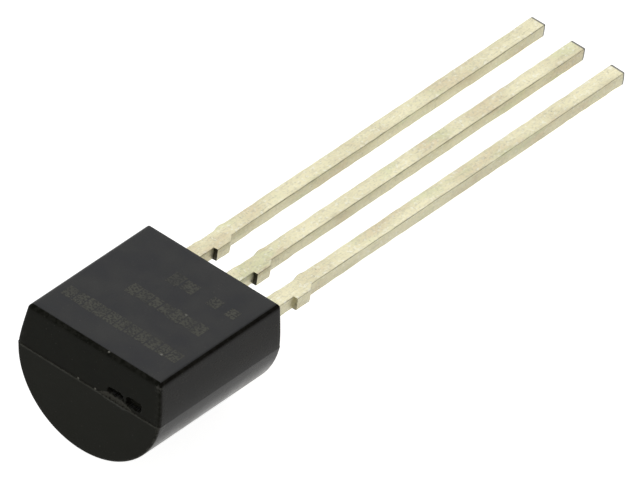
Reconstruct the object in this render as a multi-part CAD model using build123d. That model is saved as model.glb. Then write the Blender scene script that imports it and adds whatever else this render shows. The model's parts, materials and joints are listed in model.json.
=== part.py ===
from build123d import *
import os
from math import asin, atan2, cos, degrees, hypot, radians, sqrt, tan

# A small three-lead temperature sensor: a moulded body with a flat face and a round back, on a stamped lead strip.
# Sizes are in millimetres. In the part's own axes X runs across the leads, Y from the body's closed end towards
# the lead tips, and Z out of the flat face. y = 0 is the body's lead end at the parting line, and z = 0 is the
# middle of the strip's thickness. At the end every piece is turned the same way into the pose in which it rests.

# Lead strip
LEAD_PITCH = 1.27
LEAD_WIDTH = 0.45
STRIP_THICKNESS = 0.38
LEAD_LENGTH = 14.18
LEAD_EDGE_RADIUS = 0.04
TIP_ROLL_RADIUS = 0.035

# Cropped tie bar: a stub on one side of each lead, a nick and a low stub on the other
TIE_BAR_START = 1.31
STUB_LENGTH = 0.5
STUB_TAPER = 0.26
STUB_REACH = 0.14
NICK_DEPTH = 0.035
LOW_STUB_LENGTH = 0.3
LOW_STUB_REACH = 0.035

# Moulded body
BODY_LENGTH = 4.63
BACK_RADIUS = 2.26
FLAT_HEIGHT = 1.06
FLAT_WIDTH = 4.20
END_DRAFT = 1.0
PARTING_STEP = 0.012
CORNER_RADIUS = 0.12
FLAT_EDGE_RADIUS = 0.09
RIM_RADIUS = 0.05

# Broken gate on the closed end, just above the parting line
GATE_X = 0.50
GATE_CHIP_WIDTH = 0.56
GATE_CHIP_GAP = 0.05
GATE_CHIP_HEIGHT = 0.27
GATE_CHIP_DEPTH = 0.13
GATE_ROOF_DEPTH = 0.105
GATE_BACK_HEIGHT = 0.16
GATE_LIP_WIDTH = 0.85
GATE_LIP_HEIGHT = 0.09
GATE_LIP_REACH = 0.035

# Inner ends of the strip
PADDLE_WIDTH = 1.70
PADDLE_LENGTH = 1.70
PADDLE_DEPTH = 1.75
POST_GAP = 0.25
POST_WIDTH = 0.75
POST_LENGTH = 1.35
POST_DEPTH = 1.25
LOCK_NOTCH_DEPTH = 0.09
LOCK_NOTCH_LENGTH = 0.30
LOCK_NOTCH_Y = 0.65

# Chip, its adhesive and its wires
DIE_WIDTH = 1.00
DIE_LENGTH = 0.90
DIE_THICKNESS = 0.25
ATTACH_THICKNESS = 0.03
ATTACH_MARGIN = 0.04
WIRE_DIAMETER = 0.038
BALL_DIAMETER = 0.09
BALL_HEIGHT = 0.025
PAD_INSET = 0.12
LOOP_HEIGHT = 0.20
LOOP_KNEE = 0.07
STITCH_LENGTH = 0.11
STITCH_WIDTH = 0.08
STITCH_HEIGHT = 0.03
POST_BOND_DEPTH = 0.35
DOWN_BOND_MARGIN = 0.16
DOWN_BOND_OFFSET = 0.25

# Worked out from the sizes above
PARTING_Z = -STRIP_THICKNESS / 2
STRIP_TOP = STRIP_THICKNESS / 2
HALF_WIDTH = sqrt(BACK_RADIUS**2 - PARTING_Z**2)
PADDLE_Y = -PADDLE_DEPTH - PADDLE_LENGTH / 2
DIE_BASE = STRIP_TOP + ATTACH_THICKNESS
DIE_TOP = DIE_BASE + DIE_THICKNESS
OUTER_LEADS = {"lead_1": 1, "lead_3": -1}


def outline_plate(points, thickness=STRIP_THICKNESS, middle_z=0.0):
    """A flat plate with the given outline in plan, its thickness centred on middle_z."""
    face = make_face(Polyline(*points, close=True))
    return Pos(0, 0, middle_z) * extrude(face, thickness / 2, both=True)


def block(x_range, y_range, z_range):
    """A block between two corners."""
    size = [high - low for low, high in (x_range, y_range, z_range)]
    middle = [(high + low) / 2 for low, high in (x_range, y_range, z_range)]
    return Pos(*middle) * Box(*size)


def end_profile(far_z, inset):
    """The drafted side view of one mould half, as a prism across the whole body."""
    draw = abs(far_z - PARTING_Z) * tan(radians(END_DRAFT))
    near, far = -inset, -inset - draw
    points = [(near, PARTING_Z), (inset - BODY_LENGTH, PARTING_Z), (inset + draw - BODY_LENGTH, far_z), (far, far_z)]
    return extrude(Plane.YZ * make_face(Polyline(*points, close=True)), BACK_RADIUS * 2, both=True)


def upper_half():
    """The flat side of the moulding, set back from the lower half by the mould's mismatch."""
    wide = HALF_WIDTH - PARTING_STEP
    corners = [(-wide, PARTING_Z), (wide, PARTING_Z), (FLAT_WIDTH / 2, FLAT_HEIGHT), (-FLAT_WIDTH / 2, FLAT_HEIGHT)]
    section = extrude(Plane.XZ * make_face(Polyline(*corners, close=True)), BODY_LENGTH)
    half = section & end_profile(FLAT_HEIGHT, PARTING_STEP)
    rising = half.edges().filter_by(lambda edge: edge.bounding_box().size.Z > FLAT_HEIGHT)
    half = fillet(rising, CORNER_RADIUS)
    return fillet(half.edges().group_by(Axis.Z)[-1], FLAT_EDGE_RADIUS)


def lower_half():
    """The round-backed side of the moulding, with rounded rims."""
    chord = Line((-HALF_WIDTH, PARTING_Z), (HALF_WIDTH, PARTING_Z))
    back = ThreePointArc((HALF_WIDTH, PARTING_Z), (0, -BACK_RADIUS), (-HALF_WIDTH, PARTING_Z))
    section = extrude(Plane.XZ * make_face([chord, back]), BODY_LENGTH)
    half = section & end_profile(-BACK_RADIUS, 0)
    rims = half.edges().filter_by(lambda edge: edge.bounding_box().size.Z > BACK_RADIUS / 2)
    return fillet(rims, RIM_RADIUS)


def gate_scar():
    """What the broken gate took out of the closed end, and the lip that it left under the parting line."""
    end = -BODY_LENGTH
    profile = [
        (end - GATE_CHIP_DEPTH, PARTING_Z),
        (end + GATE_CHIP_DEPTH, PARTING_Z),
        (end + GATE_ROOF_DEPTH, PARTING_Z + GATE_BACK_HEIGHT),
        (end - GATE_CHIP_DEPTH, PARTING_Z + GATE_CHIP_HEIGHT),
    ]
    chip = extrude(Plane.YZ * make_face(Polyline(*profile, close=True)), GATE_CHIP_WIDTH)
    step = GATE_CHIP_WIDTH + GATE_CHIP_GAP
    chips = [Pos(GATE_X, 0, 0) * chip, Pos(GATE_X + step, 0, 0) * chip]
    lip_profile = [
        (end + RIM_RADIUS, PARTING_Z),
        (end - GATE_LIP_REACH, PARTING_Z),
        (end + RIM_RADIUS, PARTING_Z - GATE_LIP_HEIGHT),
    ]
    lip = extrude(Plane.YZ * make_face(Polyline(*lip_profile, close=True)), GATE_LIP_WIDTH)
    return chips, Pos(GATE_X - GATE_CHIP_GAP, 0, 0) * lip


def moulding(inner_pieces):
    """The whole moulding, formed round the pieces that it holds."""
    chips, lip = gate_scar()
    body = lower_half() + (upper_half() - chips) + lip
    return body - inner_pieces


def tie_bar_crop(x):
    """The cropped tie bar on the lead at x: the plate that its stubs add, and the nick cut beside them."""
    half = LEAD_WIDTH / 2
    hold = TIE_BAR_START + STUB_LENGTH
    low_end = hold + LOW_STUB_LENGTH
    points = [
        (x, TIE_BAR_START),
        (x + half + STUB_REACH, TIE_BAR_START),
        (x + half + STUB_REACH, hold),
        (x + half - LEAD_EDGE_RADIUS, hold + STUB_TAPER),
        (x - half + LEAD_EDGE_RADIUS, low_end + STUB_TAPER),
        (x - half - LOW_STUB_REACH, low_end),
        (x - half - LOW_STUB_REACH, hold),
        (x, hold),
    ]
    nick = block((x - LEAD_WIDTH, x - half + NICK_DEPTH), (TIE_BAR_START, hold), (-STRIP_THICKNESS, STRIP_THICKNESS))
    return outline_plate(points), nick


def lead_bar(x, depth):
    """The straight run of one lead, from its inner end at the given depth in the body to its rolled tip."""
    section = Plane.XZ * RectangleRounded(LEAD_WIDTH, STRIP_THICKNESS, LEAD_EDGE_RADIUS)
    bar = Pos(x, LEAD_LENGTH, 0) * extrude(section, LEAD_LENGTH + depth)
    bar = fillet(bar.edges().group_by(Axis.Y)[-1], TIP_ROLL_RADIUS)
    stubs, nick = tie_bar_crop(x)
    return bar + stubs - nick - lock_notches(x)


def lock_notches(x):
    """The pair of V notches that keys a lead into the moulding."""
    side = LEAD_WIDTH / 2
    notches = []
    for way in (-1, 1):
        points = [
            (x + way * (side - LOCK_NOTCH_DEPTH), -LOCK_NOTCH_Y),
            (x + way * (side + LOCK_NOTCH_DEPTH), LOCK_NOTCH_LENGTH - LOCK_NOTCH_Y),
            (x + way * (side + LOCK_NOTCH_DEPTH), -LOCK_NOTCH_LENGTH - LOCK_NOTCH_Y),
        ]
        notches.append(outline_plate(points, STRIP_THICKNESS * 2))
    return notches


def post_span(way):
    """The two x positions of the bond post on the given side, near edge first."""
    near = PADDLE_WIDTH / 2 + POST_GAP
    return way * near, way * (near + POST_WIDTH)


def outer_lead(way):
    """An outer lead with its bond post, on the side that way gives."""
    near, far = post_span(way)
    x_range = sorted((near, far))
    post = block(x_range, (-POST_DEPTH - POST_LENGTH, -POST_DEPTH), (PARTING_Z, STRIP_TOP))
    return lead_bar(way * LEAD_PITCH, POST_DEPTH) + post


def centre_lead():
    """The centre lead with the paddle that carries the chip."""
    paddle = Pos(0, PADDLE_Y, 0) * Box(PADDLE_WIDTH, PADDLE_LENGTH, STRIP_THICKNESS)
    return lead_bar(0, PADDLE_DEPTH) + paddle


def die_attach():
    """The adhesive layer under the chip, squeezed out a little on each side."""
    grow = 2 * ATTACH_MARGIN
    middle = STRIP_TOP + ATTACH_THICKNESS / 2
    return Pos(0, PADDLE_Y, middle) * Box(DIE_WIDTH + grow, DIE_LENGTH + grow, ATTACH_THICKNESS)


def sensor_die():
    """The silicon chip."""
    return Pos(0, PADDLE_Y, DIE_BASE + DIE_THICKNESS / 2) * Box(DIE_WIDTH, DIE_LENGTH, DIE_THICKNESS)


def bond_wire(start, end):
    """A kinked wire from a ball bond on the chip at start to a stitch on the strip at end, both as x and y."""
    reach = hypot(end[0] - start[0], end[1] - start[1])
    bond_z = DIE_TOP + BALL_HEIGHT / 2
    top = DIE_TOP + BALL_HEIGHT + LOOP_HEIGHT
    path = Plane.XZ * Polyline((0, bond_z), (0, top - LOOP_KNEE), (LOOP_KNEE, top), (reach, STRIP_TOP + STITCH_HEIGHT))
    section = Plane(path @ 0, z_dir=path % 0) * Circle(WIRE_DIAMETER / 2)
    wire = sweep(section, path, transition=Transition.RIGHT)
    ball = Pos(0, 0, DIE_TOP + BALL_HEIGHT / 2) * Cylinder(BALL_DIAMETER / 2, BALL_HEIGHT)
    stitch = Pos(reach, 0, STRIP_TOP + STITCH_HEIGHT / 2) * Box(STITCH_LENGTH, STITCH_WIDTH, STITCH_HEIGHT)
    turn = degrees(atan2(end[1] - start[1], end[0] - start[0]))
    return Pos(start[0], start[1], 0) * Rot(0, 0, turn) * (wire + ball + stitch)


def bond_wires():
    """The wires to the outer leads' posts and the one down to the paddle, by node name."""
    pad_x = DIE_WIDTH / 2 - PAD_INSET
    pad_y = PADDLE_Y + DIE_LENGTH / 2 - PAD_INSET
    wires = {}
    for name, way in OUTER_LEADS.items():
        post_x = sum(post_span(way)) / 2
        bond_y = -POST_DEPTH - POST_LENGTH + POST_BOND_DEPTH
        wires[name.replace("lead", "bond_wire")] = bond_wire((way * pad_x, pad_y), (post_x, bond_y))
    down_y = -PADDLE_DEPTH - DOWN_BOND_MARGIN
    wires["bond_wire_2"] = bond_wire((0, pad_y), (DOWN_BOND_OFFSET, down_y))
    return wires


def rest_tilt():
    """The angle about X at which the round back's rim and the lead tips touch one level surface."""
    slope = radians(END_DRAFT)
    rim_z = RIM_RADIUS - BACK_RADIUS
    rim_y = (rim_z - PARTING_Z) * tan(slope) - RIM_RADIUS / cos(slope)
    tip_z = PARTING_Z + TIP_ROLL_RADIUS
    tip_y = LEAD_LENGTH - TIP_ROLL_RADIUS
    run, rise = tip_y - rim_y, tip_z - rim_z
    return degrees(atan2(rise, run) + asin((RIM_RADIUS - TIP_ROLL_RADIUS) / hypot(run, rise)))


def main():
    """Make every piece, lay the part down as it rests and write one file for each."""
    nodes = {"lead_2": centre_lead(), "sensor_die": sensor_die(), "die_attach": die_attach()}
    nodes.update({name: outer_lead(way) for name, way in OUTER_LEADS.items()})
    nodes.update(bond_wires())
    nodes["moulded_body"] = moulding(list(nodes.values()))

    laid = {name: Rot(-rest_tilt(), 0, 0) * piece for name, piece in nodes.items()}
    box = Compound(list(laid.values())).bounding_box()
    to_origin = Pos(0, -(box.min.Y + box.max.Y) / 2, -box.min.Z)
    os.makedirs("parts", exist_ok=True)
    for name, piece in laid.items():
        export_step(to_origin * piece, f"parts/{name}.step")


main()
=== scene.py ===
"""A three-lead temperature sensor on a pale table: the fine form and finish of its pieces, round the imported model."""

import json
import logging
import math
from dataclasses import dataclass, field, replace
from enum import Enum

import bpy
import numpy as np
from mathutils import Matrix, Vector, noise


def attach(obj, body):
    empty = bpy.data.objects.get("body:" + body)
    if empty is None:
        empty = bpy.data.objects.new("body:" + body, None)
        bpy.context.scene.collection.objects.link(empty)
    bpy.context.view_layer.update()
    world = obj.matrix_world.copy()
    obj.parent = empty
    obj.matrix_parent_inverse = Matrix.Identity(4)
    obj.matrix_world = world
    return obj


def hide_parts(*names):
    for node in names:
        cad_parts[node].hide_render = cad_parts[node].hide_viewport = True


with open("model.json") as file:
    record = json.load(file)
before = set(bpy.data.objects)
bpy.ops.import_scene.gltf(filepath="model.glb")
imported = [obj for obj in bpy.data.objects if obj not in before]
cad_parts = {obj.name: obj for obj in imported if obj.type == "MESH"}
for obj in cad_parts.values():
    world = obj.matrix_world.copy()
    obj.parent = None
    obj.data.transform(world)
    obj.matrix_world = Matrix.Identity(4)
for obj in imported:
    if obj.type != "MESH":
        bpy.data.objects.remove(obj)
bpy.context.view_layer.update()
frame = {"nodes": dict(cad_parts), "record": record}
LOG = logging.getLogger("sensor")
MM = 0.001
ROOT = "root"
SMALL = 1e-9

Colour = tuple[float, float, float]
Place = tuple[float, float, float]
Span = tuple[float, float]
Path = list[tuple[float, float]]
Socket = bpy.types.NodeSocket


class Slot(Enum):
    """The record's material slots, named for the new pieces."""

    MOULDING = "epoxy_moulding"
    LEAD = "tinned_lead"


class Region(Enum):
    """The mask attributes that the moulding's mesh carries for its finish."""

    CHAFE_AND_HIGHLIGHT = "rub"
    SCAR = "scar"


class BodyFace(Enum):
    """The moulding's kinds of face, by the place of their finish on it."""

    FLAT = 0
    SIDE = 1
    END = 2


class LeadFace(Enum):
    """A lead's kinds of face, by the place of their finish on it: the sides and the cropped ends take shaded and lit
    copies of the tin.
    """

    FLAT = 0
    SIDE = 1
    SHADED_CROP = 2
    LIT_CROP = 3


@dataclass(frozen=True)
class LayFrame:
    """The sensor's own axes in the row frame: X across the leads, Y towards their tips, Z out of the flat."""

    origin: Vector
    along: Vector

    @classmethod
    def from_record(cls, record: dict) -> "LayFrame":
        """Read the axes from the mount at the middle lead.

        Args:
            record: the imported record.

        Returns:
            The frame in which the sensor's sizes are given.
        """
        mount = next(m for m in record["mounts"] if m["name"] == "leads")
        return cls(Vector(mount["pos_m"]), Vector(mount["axis"]).normalized())

    @property
    def tilt(self) -> float:
        """The angle by which the leads fall towards their tips, in radians."""
        return math.atan2(-self.along.z, self.along.y)

    def matrix(self) -> Matrix:
        """Turn the sensor's own millimetres into the row frame's metres.

        Returns:
            The transform.
        """
        across = Vector((1, 0, 0))
        turn = Matrix((across, self.along, across.cross(self.along))).transposed().to_4x4()
        return Matrix.Translation(self.origin) @ turn @ Matrix.Scale(MM, 4)


class Draft:
    """Points, faces and masks of one mesh, gathered in the sensor's own millimetres."""

    def __init__(self) -> None:
        """Start with no points."""
        self.points: list[Place] = []
        self.faces: list[tuple[int, ...]] = []
        self.masks: dict[Region, dict[int, float]] = {region: {} for region in Region}

    def add(self, point: Place, **masks: float) -> int:
        """Add a point.

        Args:
            point: its place.
            masks: its mask values, by the region's value.

        Returns:
            The point's number.
        """
        self.points.append(point)
        number = len(self.points) - 1
        for name, value in masks.items():
            self.masks[Region(name)][number] = value
        return number

    def face(self, *corners: int) -> None:
        """Add a face, leaving out corners that repeat.

        Args:
            corners: its points' numbers, counter-clockwise from outside.
        """
        kept = [c for k, c in enumerate(corners) if c != corners[k - 1]]
        if len(set(kept)) >= 3:
            self.faces.append(tuple(kept))

    def strip(self, low: list[int], high: list[int], closed: bool) -> None:
        """Join two rows of points of one length with four-sided faces.

        Args:
            low: the first row.
            high: the second row, to the left of the first.
            closed: True if each row is a ring.
        """
        count = len(low)
        for k in range(count if closed else count - 1):
            after = (k + 1) % count
            self.face(low[k], low[after], high[after], high[k])

    def ledge(self, outer: list[int], inner: list[int]) -> None:
        """Join two rings that lie in one plane and may differ in length, by their share of the way round.

        Args:
            outer: the outer ring, counter-clockwise.
            inner: the inner ring, counter-clockwise, starting near the outer one's start.
        """
        shares = [self._shares(ring) for ring in (outer, inner)]
        i = j = 0
        while i < len(outer) or j < len(inner):
            if j >= len(inner) or (i < len(outer) and shares[0][i + 1] <= shares[1][j + 1]):
                self.face(outer[i % len(outer)], outer[(i + 1) % len(outer)], inner[j % len(inner)])
                i += 1
            else:
                self.face(outer[i % len(outer)], inner[(j + 1) % len(inner)], inner[j % len(inner)])
                j += 1

    def _shares(self, ring: list[int]) -> list[float]:
        """How far round a ring each of its points lies.

        Args:
            ring: the points' numbers.

        Returns:
            The share of the way round at each point, and 1 at the end.
        """
        places = np.array([self.points[n] for n in ring + ring[:1]])
        steps = np.linalg.norm(np.diff(places, axis=0), axis=1)
        return [0.0] + list(np.cumsum(steps) / steps.sum())

    def build(self, name: str, lay: LayFrame, sharp_angle: float) -> bpy.types.Object:
        """Make the mesh object, placed in the row frame.

        Args:
            name: the piece's name.
            lay: the sensor's axes.
            sharp_angle: the angle in radians past which an edge is sharp.

        Returns:
            The new object, linked to the scene.
        """
        mesh = bpy.data.meshes.new(name)
        mesh.from_pydata(self.points, [], self.faces)
        for region, values in self.masks.items():
            mask = mesh.attributes.new(region.value, "FLOAT", "POINT")
            mask.data.foreach_set("value", [values.get(n, 0.0) for n in range(len(self.points))])
        return finished_object(name, mesh, lay.matrix(), sharp_angle)


def finished_object(name: str, mesh: bpy.types.Mesh, place: Matrix, sharp_angle: float) -> bpy.types.Object:
    """Place a mesh, set its shading and link it as an object at the origin.

    Args:
        name: the piece's name.
        mesh: its mesh.
        place: the transform to the row frame.
        sharp_angle: the angle in radians past which an edge is sharp.

    Returns:
        The new object.
    """
    mesh.transform(place)
    mesh.validate()
    for polygon in mesh.polygons:
        polygon.use_smooth = True
    mesh.set_sharp_from_angle(angle=sharp_angle)
    made = bpy.data.objects.new(name, mesh)
    bpy.context.scene.collection.objects.link(made)
    return made


def spread(start: float, end: float, count: int, power: float = 1.0) -> list[float]:
    """Values from start to end, crowded towards start where power is above 1."""
    return [start + (end - start) * (k / count) ** power for k in range(count + 1)]


def smooth_step(value: float, low: float, high: float) -> float:
    """0 up to low, 1 from high, and a smooth rise between."""
    share = min(1.0, max(0.0, (value - low) / (high - low)))
    return share * share * (3 - 2 * share)


def rough(x: float, y: float, z: float, grain: float, fading: float = 0.6, finer: float = 2.1) -> float:
    """Repeatable noise between about -1 and 1 in three octaves, for a grain size in millimetres."""
    return noise.fractal(Vector((x, y, z)) / grain, fading, finer, 3)


class NodeLayout:
    """A node tree of any kind, laid out by short calls."""

    def __init__(self, tree: bpy.types.NodeTree) -> None:
        """Take the tree that gets the nodes."""
        self.tree = tree

    @classmethod
    def emptied(cls, owner: bpy.types.Material | bpy.types.World) -> "NodeLayout":
        """Start on the cleared nodes of a material or a world.

        Args:
            owner: the material or the world.

        Returns:
            The layout of its own tree.
        """
        owner.use_nodes = True
        owner.node_tree.nodes.clear()
        return cls(owner.node_tree)

    def add(self, kind: str, inputs: dict | None = None, **settings: object) -> bpy.types.Node:
        """Add a node.

        Args:
            kind: the node's type.
            inputs: values or sockets, by input name or number.
            settings: the node's own properties.

        Returns:
            The node.
        """
        made = self.tree.nodes.new(kind)
        for key, value in settings.items():
            setattr(made, key, value)
        for key, value in (inputs or {}).items():
            if isinstance(value, Socket):
                self.tree.links.new(value, made.inputs[key])
            else:
                made.inputs[key].default_value = value
        return made

    def join(self, operation: str, *values: Socket | float) -> Socket:
        """Join numbers one after another by one operation.

        Args:
            operation: the operation.
            values: the numbers or sockets.

        Returns:
            The result.
        """
        total = values[0]
        for value in values[1:]:
            total = self.add("ShaderNodeMath", {0: total, 1: value}, operation=operation).outputs[0]
        return total

    def ramp(self, value: Socket, source: Span, target: Span = (0.0, 1.0), kind: str = "LINEAR") -> Socket:
        """Turn a number that goes over one span into one that goes over another.

        Args:
            value: the number.
            source: where it starts and ends.
            target: what that becomes.
            kind: the kind of rise.

        Returns:
            The new number.
        """
        inputs = {"Value": value, "From Min": source[0], "From Max": source[1], "To Min": target[0],
                  "To Max": target[1]}
        return self.add("ShaderNodeMapRange", inputs, interpolation_type=kind).outputs[0]

    def scaled(self, vector: Socket, scale: Place) -> Socket:
        """A vector with each of its parts scaled."""
        return self.add("ShaderNodeVectorMath", {0: vector, 1: scale}, operation="MULTIPLY").outputs[0]

    def part(self, vector: Socket, number: int) -> Socket:
        """One of a vector's three parts."""
        return self.add("ShaderNodeSeparateXYZ", {0: vector}).outputs[number]

    def seen(self) -> Socket:
        """1 for rays that come from the camera, a reflection or a clear piece, and 0 for the rest."""
        path = self.add("ShaderNodeLightPath").outputs
        return self.join("MAXIMUM", path["Is Camera Ray"], path["Is Glossy Ray"], path["Is Transmission Ray"])


@dataclass(frozen=True)
class Grain:
    """One scale of mottling, as noise in space.

    size is its grains' size in millimetres, detail its octaves, span the part of the noise over which it comes to
    show, share how strongly it shows, stretch what each axis is scaled by, and depth its relief in millimetres.
    """

    size: float
    detail: float
    span: Span = (0.0, 1.0)
    share: float = 1.0
    stretch: Place | None = None
    depth: float = 0.0
    roughness: float = 0.55


class NodeSheet(NodeLayout):
    """One material's nodes, with patterns that follow the sensor's own axes in millimetres."""

    def __init__(self, name: str, lay: LayFrame) -> None:
        """Start a material.

        Args:
            name: the material's name.
            lay: the sensor's axes.
        """
        self.material = bpy.data.materials.new(name)
        self.material.use_nodes = True
        self.material.node_tree.nodes.clear()
        super().__init__(self.material.node_tree)
        self.noises: dict[Grain, Socket] = {}
        where = self.add("ShaderNodeTexCoord").outputs["Object"]
        shift = -(Matrix.Rotation(lay.tilt, 3, "X") @ lay.origin) / MM
        mapping = {"Vector": where, "Rotation": (lay.tilt, 0, 0), "Location": shift, "Scale": (1 / MM,) * 3}
        self.place = self.add("ShaderNodeMapping", mapping).outputs[0]

    def noise(self, grain: Grain) -> Socket:
        """A grain's noise, which is laid out once.

        Args:
            grain: the grain.

        Returns:
            The noise between 0 and 1.
        """
        if grain not in self.noises:
            place = self.scaled(self.place, grain.stretch) if grain.stretch else self.place
            inputs = {"Vector": place, "Scale": 1 / grain.size, "Detail": grain.detail, "Roughness": grain.roughness}
            self.noises[grain] = self.add("ShaderNodeTexNoise", inputs).outputs["Fac"]
        return self.noises[grain]

    def window(self, value: Socket, source: Span, target: Span = (0.0, 1.0)) -> Socket:
        """A smooth change over the target as a number goes over the source."""
        return self.ramp(value, source, target, "SMOOTHSTEP")

    def change(self, grain: Grain, source: Span, target: Span) -> Socket:
        """A smooth change over the target as a grain's noise goes over the source."""
        return self.window(self.noise(grain), source, target)

    def patches(self, grain: Grain) -> Socket:
        """Where a grain shows, from 0 to 1."""
        return self.window(self.noise(grain), grain.span)

    def sum(self, *values: Socket | float) -> Socket:
        """Values added up."""
        return self.join("ADD", *values)

    def product(self, *values: Socket | float) -> Socket:
        """Values multiplied."""
        return self.join("MULTIPLY", *values)

    def blend(self, share: Socket, first: Socket | Colour, second: Socket | Colour) -> Socket:
        """Mix two colours.

        Args:
            share: 0 for the first and 1 for the second.
            first: a colour or a socket.
            second: a colour or a socket.

        Returns:
            The mixed colour.
        """
        ends = [value if isinstance(value, Socket) else (*value, 1.0) for value in (first, second)]
        return self.add("ShaderNodeMix", {0: share, 6: ends[0], 7: ends[1]}, data_type="RGBA").outputs[2]

    def mottle(self, tint: Socket | Colour, grain: Grain, colour: Colour, mask: Socket | float = 1.0) -> Socket:
        """Lay patches of another colour over a colour.

        Args:
            tint: the colour below.
            grain: the patches.
            colour: their colour.
            mask: where they may lie.

        Returns:
            The mottled colour.
        """
        return self.blend(self.product(self.patches(grain), mask, grain.share), tint, colour)

    def mask(self, region: Region) -> Socket:
        """The mesh's own mask of that name."""
        return self.add("ShaderNodeAttribute", attribute_name=region.value).outputs["Fac"]

    def bump(self, height: Socket, depth: float, under: Socket | None = None) -> Socket:
        """Raise relief on the surface.

        Args:
            height: the relief between 0 and 1.
            depth: how deep it is, in millimetres.
            under: the normal of the relief below it.

        Returns:
            The new normal.
        """
        inputs = {"Height": height, "Distance": depth * MM, "Strength": 1.0}
        if under is not None:
            inputs["Normal"] = under
        return self.add("ShaderNodeBump", inputs).outputs[0]

    def relief(self, *grains: Grain) -> Socket:
        """Raise the relief of several grains, one on another.

        Args:
            grains: the grains, the lowest first.

        Returns:
            The new normal.
        """
        normal = None
        for grain in grains:
            normal = self.bump(self.noise(grain), grain.depth, normal)
        return normal

    def surface(self, **inputs: object) -> bpy.types.Material:
        """Finish with the shader.

        Args:
            inputs: its values and sockets, by input name with low lines for spaces.

        Returns:
            The material.
        """
        named = {key.replace("_", " "): value for key, value in inputs.items()}
        shader = self.add("ShaderNodeBsdfPrincipled", named).outputs[0]
        self.add("ShaderNodeOutputMaterial", {"Surface": shader})
        return self.material


@dataclass(frozen=True)
class Dust:
    """The few pale specks on the flat, on its edge and on the parting line."""

    tone: Colour = (0.34, 0.33, 0.29)
    radius: float = 0.040
    core: float = 0.5
    uneven: Grain = Grain(0.045, 4.0, (0.25, 0.55))
    centres: tuple[Place, ...] = ((0.801, -2.075, 1.06), (1.357, -3.681, 1.06), (0.419, -4.530, 1.03),
                                  (-0.317, -4.63, -0.18), (0.222, -4.63, -0.18))

    def fall(self, sheet: NodeSheet, tint: Socket) -> Socket:
        """Lay the specks over a colour.

        Args:
            sheet: the material's nodes.
            tint: the colour below.

        Returns:
            The colour with the specks.
        """
        for centre in self.centres:
            away = sheet.add("ShaderNodeVectorMath", {0: sheet.place, 1: centre}, operation="DISTANCE")
            near = sheet.window(away.outputs["Value"], (self.radius * self.core, self.radius), (1.0, 0.0))
            tint = sheet.mottle(tint, self.uneven, self.tone, near)
        return tint


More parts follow.
